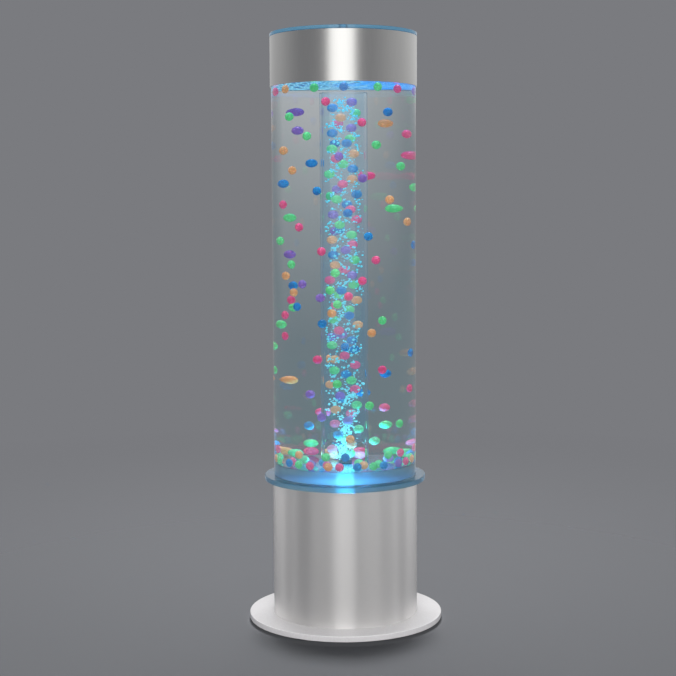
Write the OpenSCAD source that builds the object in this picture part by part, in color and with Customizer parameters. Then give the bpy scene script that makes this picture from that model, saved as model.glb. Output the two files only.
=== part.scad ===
// Bubble tube floor lamp: a clear water tube with drifting balls on a lit base.
// Millimetres, +Z up. The origin is the middle of the surface that the rubber feet stand on.
// The front faces -Y; the rear panel with the switch and the power inlet faces +Y.

/* [Foot plate] */
// Diameter of the round foot plate
plate_d = 272; // [240:1:320]
// Thickness of the foot plate
plate_t = 8; // [6:0.5:12]
// Rounding of the plate's rim
plate_edge = 1; // [0.5:0.1:2]

/* [Rubber feet] */
// Number of feet under the plate
foot_count = 6; // [4:1:10]
// Diameter of one foot where it meets the plate
foot_d = 20; // [12:1:26]
// Height of one foot
foot_h = 3.5; // [2:0.5:8]
// Diameter of the circle that the feet stand on
foot_ring_d = 236; // [212:1:240]

/* [Base housing] */
// Outside diameter of the metal sleeve
housing_d = 203; // [200:1:215]
// Height of the metal sleeve
housing_h = 189; // [170:1:240]
// Thickness of the sheet metal
housing_wall = 1.5; // [1:0.1:2.5]
// Number of vent slots in the back
vent_count = 9; // [3:1:11]
// Width of one vent slot
vent_w = 3; // [2:0.1:4]
// Length of one vent slot
vent_h = 26; // [12:1:40]
// Distance from one vent slot to the next
vent_pitch = 8; // [6:0.5:10]
// Distance from the top of the sleeve down to the vent slots
vent_drop = 34; // [24:1:60]

/* [Water tube] */
// Outside diameter of the clear tube
tube_d = 200; // [190:1:205]
// Wall thickness of the clear tube
tube_wall = 5; // [3:0.5:6]
// Length of the clear tube
tube_h = 607.5; // [540:0.5:900]

/* [Clear floor] */
// Diameter of the clear flange under the tube
flange_d = 226; // [220:1:240]
// Thickness of the flange
flange_t = 7; // [5:0.5:12]
// Height of the solid plug that stands inside the tube
plug_rise = 18; // [10:0.5:30]
// Rounding of the flange's rim
flange_edge = 0.8; // [0.4:0.1:2]
// Diameter of the light well that is bored from below round the nozzle's stem
well_d = 17; // [14:0.5:22]
// Thickness of clear floor left above the light well
well_roof = 4; // [2:0.5:8]

/* [Lift tube] */
// Outside diameter of the inner tube
lift_d = 50; // [44:1:60]
// Wall thickness of the inner tube
lift_wall = 3; // [2:0.5:4]
// Depth of water above the inner tube
lift_cover = 10; // [8:1:60]
// Number of arched windows at its foot
window_count = 4; // [3:1:5]
// Width of one window
window_w = 24; // [16:1:26]
// Height of one window, up to the top of its arch
window_h = 32; // [20:1:60]

/* [Water and balls] */
// Distance from the tube's rim down to the water
water_drop = 67.5; // [40:0.5:90]
// Diameter of one ball
ball_d = 12; // [8:0.5:13]
// Room that the water leaves around each ball
ball_gap = 0.3; // [0.1:0.1:0.5]
// Balls drifting outside the inner tube
drift_count = 84; // [20:1:90]
// Balls rising with the bubbles inside the inner tube
rise_count = 71; // [20:1:76]
// Balls lying against the wall
pile_outer_count = 27; // [4:1:28]
// Balls lying halfway in
pile_middle_count = 14; // [2:1:16]
// Balls lying near the inner tube
pile_inner_count = 6; // [2:1:7]
// Balls lying on top of others
pile_top_count = 13; // [2:1:18]
// Balls floating at the surface
float_count = 8; // [2:1:14]

/* [Cap] */
// Height of the metal ring
cap_h = 68; // [40:1:80]
// Thickness of the ring's metal
cap_wall = 1.2; // [0.8:0.1:2.5]
// Thickness of the clear disc on top
cap_disc_t = 5; // [3:0.5:8]
// Rounding of the disc's rim
cap_edge = 0.6; // [0.3:0.1:1.4]
// Diameter of the air hole in the disc
air_hole_d = 8; // [4:0.5:12]

/* [Frame inside the base] */
// Thickness of the plate under the clear floor
support_t = 8; // [7:0.5:12]
// Diameter of one post
post_d = 12; // [10:1:14]
// Diameter of the circle that the posts stand on
post_ring_d = 164; // [160:1:168]
// Height of the ring that centres the sleeve on the foot plate
ring_h = 6; // [4:0.5:8]
// Radial thickness of that ring
ring_t = 5; // [3:0.5:6]
// Thread diameter of the screws in the posts
post_screw_d = 5; // [4:1:6]
// Length of the screws in the posts
post_screw_l = 18; // [14:1:20]

/* [Air nozzle] */
// Diameter of the nozzle's head in the water
nozzle_head_d = 12; // [11:0.5:18]
// Height of the nozzle's head
nozzle_head_h = 4; // [2:0.5:6]
// Diameter of the nozzle's stem
nozzle_stem_d = 8; // [6:0.5:10]
// Diameter of the air channel
nozzle_bore_d = 2.5; // [1:0.1:4]
// Thickness of the rubber seal under the head
seal_t = 1.5; // [1:0.1:3]
// Height of the clamping nut
nut_h = 6; // [4:0.5:10]
// Width across the nut's flats
nut_af = 14; // [13:1:20]
// Free length of stem below the nut
nozzle_tail = 6; // [3:0.5:12]

/* [Air pump] */
// Length of the pump's housing, left to right
pump_l = 90; // [70:1:96]
// Width of the pump's housing, front to back
pump_w = 56; // [44:1:60]
// Height of the pump's housing
pump_h = 44; // [34:1:50]
// Distance from the lamp's axis forward to the pump's middle
pump_forward = 46; // [44:1:48]
// Height of the rubber mounts
pump_mount_h = 6; // [4:0.5:10]
// Diameter of the rubber mounts
pump_mount_d = 14; // [10:1:18]
// Number of cooling ribs on the pump
pump_ribs = 9; // [5:1:11]
// Side of the square pump head
pump_head_w = 34; // [28:1:40]
// Height of the pump head
pump_head_h = 18; // [14:1:24]

/* [Air hose] */
// Outside diameter of the hose
hose_d = 6; // [5:0.5:8]
// Inside diameter of the hose
hose_bore_d = 4; // [3:0.5:4.5]
// Length of hose between the pump and the check valve
hose_low_l = 16; // [8:1:24]
// Diameter of the check valve
valve_d = 15; // [12:1:20]
// Length of the check valve's body
valve_l = 22; // [16:1:30]
// Length of the collar at each end of the valve
valve_collar = 4; // [2:0.5:6]

/* [Lights] */
// Diameter of the round lamp board
led_board_d = 110; // [100:1:120]
// Thickness of a circuit board
board_t = 1.6; // [1:0.1:2]
// Depth of the recess that the lamp board lies in
led_recess = 5; // [4.2:0.1:5.5]
// Diameter of the outer circle of lights
led_ring_d = 64; // [50:1:76]
// Lights on the outer circle
led_outer_count = 12; // [6:1:18]
// Diameter of the inner circle of lights
led_core_d = 28; // [26:1:36]
// Lights on the inner circle
led_core_count = 6; // [3:1:8]
// Side of one square light
led_w = 5; // [3:0.5:6]
// Height of one light
led_h = 1.6; // [1:0.1:2]

/* [Control board] */
// Width of the control board
ctrl_w = 76; // [66:1:80]
// Depth of the control board
ctrl_d = 50; // [44:1:52]
// Height of the pillars under the board
pillar_h = 8; // [5:1:12]
// Distance from the lamp's axis back to the board's middle
ctrl_back = 36; // [34:1:38]

/* [Rear panel] */
// Width of the opening in the sleeve
panel_w = 46; // [44:1:50]
// Height of the opening in the sleeve
panel_h = 30; // [28:1:40]
// Corner radius of the opening
panel_corner = 4; // [2:0.5:6]
// Height from the foot plate to the panel's middle
panel_up = 34; // [30:1:60]
// How far the panel's lip laps over the sleeve
lip_lap = 3; // [2:0.5:5]
// Thickness of the lip
lip_t = 1.8; // [1:0.1:3]
// How far the panel's floor lies behind the sleeve's face
panel_depth = 4; // [3.5:0.1:6]
// Thickness of the panel's floor
panel_floor = 2; // [1.5:0.1:3]

/* [Switch and inlet] */
// Height of the switch's frame
switch_h = 21; // [21:0.5:24]
// Width of the switch's frame
switch_w = 15; // [15:0.5:18]
// How far the rocker turns between off and on
rocker_travel = 20; // [14:1:24]
// Diameter of the inlet's threaded body
inlet_d = 8; // [8:0.5:10]
// Bore of the inlet
inlet_bore_d = 5.5; // [5.5:0.1:6.3]
// Diameter of the inlet's contact pin
inlet_pin_d = 2.1; // [2:0.1:2.5]

/* [Wires] */
// Diameter of one sheathed wire pair
wire_d = 3.2; // [2:0.1:4]

/* [Fits] */
// Gap of a glued or clamped seat
seat_gap = 0.1; // [0.05:0.05:0.2]
// Gap between the cap's ring and the tube
cap_gap = 0.3; // [0.2:0.1:0.5]
// Radial gap of a turning pin
pin_gap = 0.05; // [0.02:0.01:0.1]
// Clearance around the rocker in its frame
rocker_gap = 0.35; // [0.3:0.05:0.5]

/* [Hidden] */
$fn = 96;

// A little more than a wall, so that a cut passes through it.
cut = 1;

// Heights of the stack, from the floor up.
plate_z = foot_h;
base_z = plate_z + plate_t;
flange_z = base_z + housing_h;
tube_z = flange_z + flange_t;
floor_z = tube_z + plug_rise;
rim_z = tube_z + tube_h;
water_z = rim_z - water_drop;
water_h = water_z - floor_z;
lift_h = water_h - lift_cover;
support_z = flange_z - support_t;

// Radii that several pieces share.
housing_r = housing_d / 2;
housing_in = housing_r - housing_wall;
tube_r = tube_d / 2;
tube_in = tube_r - tube_wall;
lift_r = lift_d / 2;
lift_in = lift_r - lift_wall;
cap_in = tube_r + cap_gap;
cap_r = cap_in + cap_wall;
post_count = 4;

// A flat-headed screw's head, as wide and deep as its thread size asks.
function head_r(d) = 0.95 * d;
function head_h(d) = 0.56 * d;

// A square outline with round corners.
module rounded_rect(w, h, r) {
    square([w - 2 * r, h], center = true);
    square([w, h - 2 * r], center = true);
    for (x = [-1, 1], y = [-1, 1])
        translate([x * (w / 2 - r), y * (h / 2 - r)])
            circle(r);
}

// An upright slot with round ends.
module slot(w, h) {
    square([w, h - w], center = true);
    for (y = [-1, 1])
        translate([0, y * (h - w) / 2])
            circle(w / 2);
}

// A ring between two radii.
module ring(r_out, r_in, h) {
    difference() {
        cylinder(r = r_out, h = h);
        translate([0, 0, -cut])
            cylinder(r = r_in, h = h + 2 * cut);
    }
}

// A turned disc whose two outer edges are rounded.
module soft_disc(r, h, edge) {
    rotate_extrude() {
        square([r - edge, h]);
        translate([0, edge])
            square([r, h - 2 * edge]);
        for (z = [edge, h - edge])
            translate([r - edge, z])
                circle(edge, $fn = 24);
    }
}

// Copies of a piece round the axis.
module around(count, r, start = 0) {
    for (i = [0 : count - 1])
        rotate(start + i * 360 / count)
            translate([r, 0, 0])
                children();
}

/* Foot ------------------------------------------------------------- */

module post_places() {
    around(post_count, post_ring_d / 2, 45)
        children();
}

module foot_plate() {
    color("whitesmoke")
        difference() {
            translate([0, 0, plate_z])
                soft_disc(plate_d / 2, plate_t, plate_edge);
            post_places()
                screw_room(plate_z, 1, plate_t + cut);
        }
}

// The hole for a flat-headed screw: way is 1 for a screw that points up, -1 for one that points down.
module screw_room(z, way, depth) {
    clear_r = post_screw_d / 2 + seat_gap;
    translate([0, 0, z])
        flip(way) {
            translate([0, 0, -cut])
                cylinder(r = clear_r, h = depth + cut);
            cylinder(r1 = head_r(post_screw_d) + seat_gap, r2 = clear_r, h = head_h(post_screw_d) + seat_gap);
            translate([0, 0, -cut])
                cylinder(r = head_r(post_screw_d) + seat_gap, h = cut);
        }
}

// Turns its children upside down when way is -1.
module flip(way) {
    rotate([way < 0 ? 180 : 0, 0, 0])
        children();
}

module flat_screw(d, l) {
    cylinder(r1 = head_r(d), r2 = d / 2, h = head_h(d));
    cylinder(r = d / 2, h = l);
}

module frame_screws() {
    color("silver")
        post_places() {
            translate([0, 0, plate_z])
                flat_screw(post_screw_d, post_screw_l);
            translate([0, 0, flange_z])
                flip(-1)
                    flat_screw(post_screw_d, post_screw_l);
        }
}

module rubber_feet() {
    tip = 0.8;
    color("dimgray")
        around(foot_count, foot_ring_d / 2)
            rotate_extrude() {
                square([foot_d / 2 - 2 * tip, foot_h]);
                polygon([
                    [0, foot_h], [foot_d / 2, foot_h], [foot_d / 2 - tip, tip], [foot_d / 2 - 2 * tip, 0],
                    [0, 0],
                ]);
            }
}

/* Base -------------------------------------------------------------- */

// A prism that stands on the panel's outline and points backwards.
module panel_prism(w, h, r, from, to) {
    translate([0, to, base_z + panel_up])
        rotate([90, 0, 0])
            linear_extrude(to - from)
                rounded_rect(w, h, r);
}

module base_housing() {
    color("silver")
        difference() {
            translate([0, 0, base_z])
                ring(housing_r, housing_in, housing_h);
            panel_prism(panel_w, panel_h, panel_corner, housing_in / 2, housing_r + cut);
            for (i = [0 : vent_count - 1])
                rotate((i - (vent_count - 1) / 2) * vent_pitch / housing_r * 180 / PI)
                    translate([0, housing_r + cut, flange_z - vent_drop - vent_h / 2])
                        rotate([90, 0, 0])
                            linear_extrude(housing_wall + 3 * cut)
                                slot(vent_w, vent_h);
        }
}

module centring_ring() {
    color("gray")
        translate([0, 0, base_z])
            ring(housing_in - seat_gap, housing_in - ring_t, ring_h);
}

module support_posts() {
    spare = 2;
    low_l = post_screw_l - plate_t + spare;
    high_l = post_screw_l - support_t + spare;
    thread_r = post_screw_d / 2 + pin_gap;
    color("silver")
        post_places()
            difference() {
                translate([0, 0, base_z])
                    cylinder(d = post_d, h = support_z - base_z);
                translate([0, 0, base_z - cut])
                    cylinder(r = thread_r, h = low_l + cut);
                translate([0, 0, support_z - high_l])
                    cylinder(r = thread_r, h = high_l + cut);
            }
}

module support_plate() {
    color("gainsboro")
        difference() {
            translate([0, 0, support_z])
                cylinder(r = housing_in - seat_gap, h = support_t);
            translate([0, 0, flange_z - led_recess])
                cylinder(d = led_board_d + 4, h = led_recess + cut);
            translate([0, 0, support_z - cut])
                cylinder(r = nozzle_stem_d / 2 + seat_gap, h = support_t + 2 * cut);
            translate([led_wire_x, 0, support_z - cut])
                cylinder(r = wire_d, h = support_t + 2 * cut);
            post_places()
                screw_room(flange_z, -1, support_t + cut);
            led_screw_places()
                translate([0, 0, support_z - cut])
                    cylinder(r = led_screw_d / 2 + pin_gap, h = support_t + 2 * cut);
        }
}

/* Clear floor and tubes ---------------------------------------------- */

module clear_floor() {
    color("lightcyan", 0.4)
        difference() {
            union() {
                translate([0, 0, flange_z])
                    soft_disc(flange_d / 2, flange_t, flange_edge);
                translate([0, 0, flange_z + flange_t / 2])
                    cylinder(r = tube_in - seat_gap, h = floor_z - flange_z - flange_t / 2);
            }
            translate([0, 0, flange_z - cut])
                cylinder(r = nozzle_stem_d / 2 + seat_gap, h = floor_z - flange_z + 2 * cut);
            translate([0, 0, flange_z - cut])
                cylinder(d = well_d, h = floor_z - well_roof - flange_z + cut);
        }
}

module outer_tube() {
    color("azure", 0.3)
        translate([0, 0, tube_z])
            ring(tube_r, tube_in, tube_h);
}

// The outline of one arched window, standing on its sill.
module arch(w, h) {
    translate([-w / 2, -cut])
        square([w, h - w / 2 + cut]);
    translate([0, h - w / 2])
        circle(w / 2);
}

// The inner tube, or with grow the room that the water leaves for it.
module lift_tube_form(grow = 0) {
    difference() {
        cylinder(r = lift_r + grow, h = lift_h + grow);
        translate([0, 0, -cut])
            cylinder(r = lift_in - grow, h = lift_h + grow + 2 * cut);
        for (i = [0 : window_count - 1])
            rotate(45 + i * 360 / window_count)
                rotate([90, 0, 0])
                    linear_extrude(lift_d)
                        arch(window_w - 2 * grow, window_h - grow);
    }
}

module lift_tube() {
    color("azure", 0.4)
        translate([0, 0, floor_z])
            lift_tube_form();
}

/* Water and balls ----------------------------------------------------- */

ball_r = ball_d / 2;
cell_r = ball_r + ball_gap;

// Where the balls of each group may be: how near to the axis, how far from it, and how high.
drift_in = lift_r + cell_r + ball_gap;
drift_out = tube_in - cell_r - ball_gap;
drift_low = 5 * cell_r;
drift_high = water_h - 3.2 * cell_r;
rise_in = 0.58 * ball_d;
rise_out = lift_in - cell_r - ball_gap;
rise_low = cell_r + nozzle_head_h + seal_t + 2;
rise_high = lift_h - cell_r;
rise_turn = 40;

// Steps that never repeat, in degrees and in shares of one, scatter the balls evenly but without a pattern.
golden_angle = 137.508;
drift_scatter = 0.7549;
rise_scatter = 0.5698;
float_scatter = 0.618;
colour_scatter = 0.4142;

// The drifting balls gather into a loose school: its height, direction, reach up and down, and its pull.
school_up = 0.45 * water_h;
school_side = 228;
school_reach = 0.13 * water_h;
school_pull = 0.75;
school_squeeze = 0.35;

function frac(v) = v - floor(v);
function polar(r, a, z) = [r * cos(a), r * sin(a), z];
function turn_between(a, b) = b - a - 360 * floor((b - a + 180) / 360);

// A ball that drifts outside the inner tube: a golden spiral, drawn together near the school.
function drifting(i) =
    let (
        z = drift_low + i * (drift_high - drift_low) / drift_count,
        r = drift_in + (drift_out - drift_in) * sqrt(frac(i * drift_scatter)),
        near = exp(-pow((z - school_up) / school_reach, 2)),
        a = school_side + (1 - school_pull * near) * turn_between(school_side, i * golden_angle))
        polar(r, a, z - school_squeeze * near * (z - school_up));
drift_places = [for (i = [0 : drift_count - 1]) drifting(i)];

// Balls that rise with the bubbles inside it.
rise_places = [
    for (i = [0 : rise_count - 1])
        polar(
            rise_in + (rise_out - rise_in) * sqrt(frac(i * rise_scatter)),
            rise_turn + i * golden_angle,
            rise_low + i * (rise_high - rise_low) / rise_count)
];

// Balls that lie on the floor: circles on which each ball strays within the room beside it.
function lying(count, r, layer) =
    let (
        step = 360 / count,
        stray = 0.4 * (step - 2 * asin(cell_r / r)),
        z = cell_r * (1 + 2 * layer))
        [for (i = [0 : count - 1]) polar(r, i * step + stray * sin(i * golden_angle), z)];
pile_places = concat(
    lying(pile_outer_count, drift_out, 0),
    lying(pile_middle_count, drift_out - 2.6 * cell_r, 0),
    lying(pile_inner_count, lift_r + 3.4 * cell_r, 0),
    lying(pile_top_count, drift_out - cell_r, 1));

// Balls that float just under the surface, most of them towards the front.
float_from = 150;
float_span = 240;
float_places = [
    for (i = [0 : float_count - 1])
        polar(
            drift_out - 3 * cell_r * frac(i * float_scatter),
            float_from + i * float_span / float_count,
            water_h - cell_r - ball_gap)
];

ball_groups = [drift_places, rise_places, pile_places, float_places];

// Share of each colour, as a running total: green, pink, blue, orange, then purple. Every group starts anew.
colour_steps = [0.28, 0.50, 0.72, 0.88];
function colour_of(i) = let (u = frac(i * colour_scatter)) len([for (s = colour_steps) if (u > s) s]);

module balls(which, r) {
    translate([0, 0, floor_z])
        for (group = ball_groups)
            for (i = [0 : len(group) - 1])
                if (which < 0 || colour_of(i) == which)
                    translate(group[i])
                        sphere(r, $fn = 24);
}

module water() {
    color("paleturquoise", 0.3)
        difference() {
            translate([0, 0, floor_z])
                cylinder(r = tube_in - seat_gap, h = water_h);
            translate([0, 0, floor_z])
                lift_tube_form(seat_gap);
            translate([0, 0, floor_z - cut])
                cylinder(r = nozzle_head_d / 2 + seat_gap, h = cut + seal_t + nozzle_head_h + seat_gap);
            balls(-1, cell_r);
        }
}

module balls_green() {
    color("mediumspringgreen")
        balls(0, ball_r);
}

module balls_pink() {
    color("deeppink")
        balls(1, ball_r);
}

module balls_blue() {
    color("dodgerblue")
        balls(2, ball_r);
}

module balls_orange() {
    color("sandybrown")
        balls(3, ball_r);
}

module balls_purple() {
    color("mediumpurple")
        balls(4, ball_r);
}

/* Cap ------------------------------------------------------------------ */

module cap_ring() {
    color("silver")
        translate([0, 0, rim_z - cap_h])
            ring(cap_r, cap_in, cap_h);
}

module cap_disc() {
    color("deepskyblue", 0.6)
        difference() {
            translate([0, 0, rim_z])
                soft_disc(cap_r, cap_disc_t, cap_edge);
            translate([0, 0, rim_z - cut])
                cylinder(d = air_hole_d, h = cap_disc_t + 2 * cut);
        }
}

/* Air line --------------------------------------------------------------- */

washer_t = 1;
washer_lap = 1.5;
nozzle_low = support_z - washer_t - nut_h - nozzle_tail;

module air_nozzle() {
    color("dimgray")
        difference() {
            union() {
                translate([0, 0, floor_z + seal_t])
                    cylinder(d = nozzle_head_d, h = nozzle_head_h);
                translate([0, 0, nozzle_low])
                    cylinder(d = nozzle_stem_d, h = floor_z + seal_t - nozzle_low + cut);
            }
            translate([0, 0, nozzle_low - cut])
                cylinder(d = nozzle_bore_d, h = floor_z - nozzle_low + seal_t + nozzle_head_h + 2 * cut);
        }
}

module nozzle_seal() {
    color("black")
        translate([0, 0, floor_z])
            ring(nozzle_head_d / 2, nozzle_stem_d / 2 + seat_gap, seal_t);
}

module nozzle_washer() {
    color("silver")
        translate([0, 0, support_z - washer_t])
            ring(nut_af / 2 + washer_lap, nozzle_stem_d / 2 + seat_gap, washer_t);
}

module nozzle_nut() {
    color("gray")
        translate([0, 0, support_z - washer_t - nut_h])
            difference() {
                cylinder(d = nut_af / cos(30), h = nut_h, $fn = 6);
                translate([0, 0, -cut])
                    cylinder(r = nozzle_stem_d / 2 + pin_gap, h = nut_h + 2 * cut);
            }
}

pump_z = base_z + pump_mount_h;
head_z = pump_z + pump_h;
outlet_h = 5;
outlet_wall = 1.5;
pump_corner = 8;
pump_skirt = 6;
pump_mount_edge = 5;
pump_mount_waist = 2;
groove_deep = 2;
head_corner = 5;
head_screw_d = 4;
head_screw_deep = 3;
gland_l = 3;
gland_wall = 2;
gland_z = pump_z + 0.7 * pump_h;
pump_back = -pump_forward + pump_w / 2;
hose_z = head_z + pump_head_h + outlet_h;
valve_z = hose_z + hose_low_l;
valve_top = valve_z + valve_l + 2 * valve_collar;

module pump_housing() {
    rib_pitch = pump_l / (pump_ribs + 1);
    groove_w = 0.45 * rib_pitch;
    color("dimgray") {
        difference() {
            translate([0, -pump_forward, pump_z])
                linear_extrude(pump_h)
                    rounded_rect(pump_l, pump_w, pump_corner);
            for (i = [0.5 : pump_ribs + 0.5], side = [-1, 1])
                translate([
                    -pump_l / 2 + i * rib_pitch - groove_w / 2,
                    -pump_forward + side * pump_w / 2 - groove_deep,
                    pump_z + pump_skirt])
                    cube([groove_w, 2 * groove_deep, pump_h]);
        }
        translate([-term_x, pump_back - 2 * groove_deep, gland_z])
            rotate([-90, 0, 0])
                cylinder(d = wire_d + 2 * gland_wall, h = 2 * groove_deep + gland_l);
    }
}

module pump_head() {
    screw_in = pump_head_w / 2 - head_corner;
    color("black")
        difference() {
            union() {
                translate([0, -pump_forward, head_z])
                    linear_extrude(pump_head_h)
                        rounded_rect(pump_head_w, pump_head_w, head_corner);
                translate([0, -pump_forward, head_z + pump_head_h - cut])
                    cylinder(d = hose_d + 2 * outlet_wall, h = outlet_h + cut);
            }
            translate([0, -pump_forward, head_z + pump_head_h / 2])
                cylinder(d = hose_bore_d - 1, h = pump_head_h);
            for (x = [-1, 1], y = [-1, 1])
                translate([x * screw_in, y * screw_in - pump_forward, head_z + pump_head_h - head_screw_deep])
                    cylinder(d = head_screw_d, h = head_screw_deep + cut);
        }
}

module pump_mounts() {
    mount_in = pump_mount_d / 2 + pump_mount_edge;
    color("black")
        for (x = [-1, 1], y = [-1, 1])
            translate([x * (pump_l / 2 - mount_in), y * (pump_w / 2 - mount_in) - pump_forward, base_z])
                rotate_extrude() {
                    difference() {
                        square([pump_mount_d / 2, pump_mount_h]);
                        translate([pump_mount_d / 2 + pump_mount_waist / 2, pump_mount_h / 2])
                            circle(pump_mount_waist);
                    }
                }
}

module hose_lower() {
    color("lightgray")
        translate([0, -pump_forward, hose_z])
            ring(hose_d / 2, hose_bore_d / 2, hose_low_l);
}

// Half the outline of the check valve: two halves that meet at a groove, between the collars for the hoses.
module valve_outline() {
    edge = 1;
    groove = 0.8;
    middle = valve_collar + valve_l / 2;
    body_top = valve_collar + valve_l;
    collar_r = hose_d / 2 + edge;
    polygon([
        [0, 0],
        [collar_r, 0],
        [collar_r, valve_collar],
        [valve_d / 2 - edge, valve_collar],
        [valve_d / 2, valve_collar + edge],
        [valve_d / 2, middle - edge],
        [valve_d / 2 - groove, middle - edge],
        [valve_d / 2 - groove, middle + edge],
        [valve_d / 2, middle + edge],
        [valve_d / 2, body_top - edge],
        [valve_d / 2 - edge, body_top],
        [collar_r, body_top],
        [collar_r, body_top + valve_collar],
        [0, body_top + valve_collar],
    ]);
}

module check_valve() {
    color("lightgray")
        translate([0, -pump_forward, valve_z])
            difference() {
                rotate_extrude()
                    valve_outline();
                for (z = [-cut, valve_l + valve_collar])
                    translate([0, 0, z])
                        cylinder(d = hose_bore_d, h = valve_collar + cut);
            }
}

// A point on a cubic curve that leaves a along da and comes into b along db.
function bend(a, da, b, db, t) =
    pow(1 - t, 3) * a
    + 3 * pow(1 - t, 2) * t * (a + da)
    + 3 * (1 - t) * t * t * (b - db)
    + pow(t, 3) * b;
function unit(v) = v / norm(v);
function side_of(v, w) = unit(cross(v, w));

// A round tube along that curve. flat is a direction that the curve never runs along.
module bent_tube(a, da, b, db, r, flat, steps = 16, sides = 8) {
    rings = [
        for (k = [0 : steps])
            let (
                t = k / steps,
                p = bend(a, da, b, db, t),
                dir = k == 0 ? unit(da) : k == steps ? unit(db)
                    : unit(bend(a, da, b, db, t + 0.01) - bend(a, da, b, db, t - 0.01)),
                u = side_of(dir, flat),
                v = cross(dir, u))
                [for (s = [0 : sides - 1]) p + r * (cos(s * 360 / sides) * u + sin(s * 360 / sides) * v)]
    ];
    points = [for (one = rings) each one];
    walls = [
        for (k = [0 : steps - 1], s = [0 : sides - 1])
            let (c = k * sides + s, d = k * sides + (s + 1) % sides)
                each [[c, d + sides, d], [c, c + sides, d + sides]]
    ];
    ends = [
        [for (s = [0 : sides - 1]) s],
        [for (s = [sides - 1 : -1 : 0]) steps * sides + s],
    ];
    polyhedron(points, concat(walls, ends));
}

// How far the hose keeps straight on at the valve and at the nozzle.
hose_valve_lead = 24;
hose_nozzle_lead = 30;

module hose_upper() {
    color("lightgray")
        bent_tube(
            [0, -pump_forward, valve_top], [0, 0, hose_valve_lead],
            [0, 0, nozzle_low], [0, 0, hose_nozzle_lead], hose_d / 2, [1, 0, 0]);
}

/* Lights ------------------------------------------------------------------ */

led_board_z = flange_z - led_recess;
led_top = led_board_z + board_t;
led_wire_x = 23;
led_screw_d = 3;
led_screw_count = 3;

module led_screw_places() {
    around(led_screw_count, led_board_d / 2 - 6, 90)
        children();
}

// A round-headed screw with its head above z = 0 and its shank below.
module pan_screw(d, l) {
    head_top = 0.5 * d;
    difference() {
        union() {
            cylinder(r = 0.9 * d, h = head_top);
            translate([0, 0, -l])
                cylinder(d = d, h = l + head_top / 2);
        }
        translate([0, 0, head_top - 0.3 * d])
            cylinder(d = 0.8 * d, h = d, $fn = 6);
    }
}

module led_board() {
    color("white")
        difference() {
            translate([0, 0, led_board_z])
                cylinder(d = led_board_d, h = board_t);
            translate([0, 0, led_board_z - cut])
                cylinder(d = nozzle_stem_d + 4, h = board_t + 2 * cut);
            led_screw_places()
                translate([0, 0, led_board_z - cut])
                    cylinder(r = led_screw_d / 2 + pin_gap, h = board_t + 2 * cut);
        }
}

module led_light() {
    color("lightyellow")
        difference() {
            translate([-led_w / 2, -led_w / 2, 0])
                cube([led_w, led_w, led_h]);
            translate([0, 0, led_h - 0.4])
                cylinder(d = 0.8 * led_w, h = cut);
        }
}

module led_lights() {
    translate([0, 0, led_top]) {
        around(led_outer_count, led_ring_d / 2)
            led_light();
        around(led_core_count, led_core_d / 2, 30)
            led_light();
    }
}

module led_screws() {
    color("silver")
        led_screw_places()
            translate([0, 0, led_top])
                pan_screw(led_screw_d, led_top - support_z);
}

/* Control board ------------------------------------------------------------ */

ctrl_z = base_z + pillar_h;
ctrl_top = ctrl_z + board_t;
ctrl_hole = 4;
term_x = 0.28 * ctrl_w;
term_h = 9;
term_w = 11;
term_d = 8;

// The four holes in the board's corners.
module ctrl_corners() {
    for (x = [-1, 1], y = [-1, 1])
        translate([x * (ctrl_w / 2 - ctrl_hole), ctrl_back + y * (ctrl_d / 2 - ctrl_hole), 0])
            children();
}

module control_board() {
    color("seagreen")
        difference() {
            translate([0, ctrl_back, ctrl_z])
                linear_extrude(board_t)
                    rounded_rect(ctrl_w, ctrl_d, 2);
            ctrl_corners()
                translate([0, 0, ctrl_z - cut])
                    cylinder(r = led_screw_d / 2 + pin_gap, h = board_t + 2 * cut);
        }
}

module board_pillars() {
    color("goldenrod")
        ctrl_corners()
            difference() {
                translate([0, 0, base_z])
                    cylinder(d = 6, h = pillar_h, $fn = 6);
                translate([0, 0, base_z + cut])
                    cylinder(r = led_screw_d / 2 + pin_gap, h = pillar_h);
            }
}

module board_screws() {
    color("silver")
        ctrl_corners()
            translate([0, 0, ctrl_top])
                pan_screw(led_screw_d, board_t + pillar_h - 2 * cut);
}

// Where the wire pairs of the pump, the inlet and the lights reach the board.
function terminal(i) = [(i - 1) * term_x, ctrl_back + (i == 1 ? 1 : -1) * (ctrl_d / 2 - term_d), ctrl_top];

can_d = 10;
can_h = 14;
can_pitch = 13;
can_x = -24;
coil_x = 18;
coil_d = 14;
coil_bore_d = 6;
coil_h = 7;
tall_parts_back = 4;
chip_places = [-10, 4];
chip_size = [8, 6, 2];
chip_front = 13;

// A wire terminal with its two clamping screws.
module terminal_block() {
    screw_deep = 1;
    color("forestgreen")
        difference() {
            translate([-term_w / 2, -term_d / 2, 0])
                cube([term_w, term_d, term_h]);
            for (x = [-1, 1])
                translate([x * term_w / 4, 0, term_h - screw_deep])
                    cylinder(d = led_screw_d, h = screw_deep + cut);
        }
}

// A smoothing capacitor, with the crimp that runs round its can.
module capacitor() {
    crimp_r = 1.4;
    color("midnightblue")
        rotate_extrude()
            difference() {
                square([can_d / 2, can_h]);
                translate([can_d / 2 + 1, can_h - 2])
                    circle(crimp_r);
            }
}

module board_parts() {
    for (i = [0 : 2])
        translate(terminal(i))
            terminal_block();
    for (i = [0 : 2])
        translate([can_x + i * can_pitch, ctrl_back + tall_parts_back, ctrl_top])
            capacitor();
    // Coil
    color("darkslategray")
        translate([coil_x, ctrl_back + tall_parts_back, ctrl_top])
            ring(coil_d / 2, coil_bore_d / 2, coil_h);
    // Driver chips
    for (x = chip_places)
        color("black")
            translate([x, ctrl_back - chip_front, ctrl_top])
                cube(chip_size);
}

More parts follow.
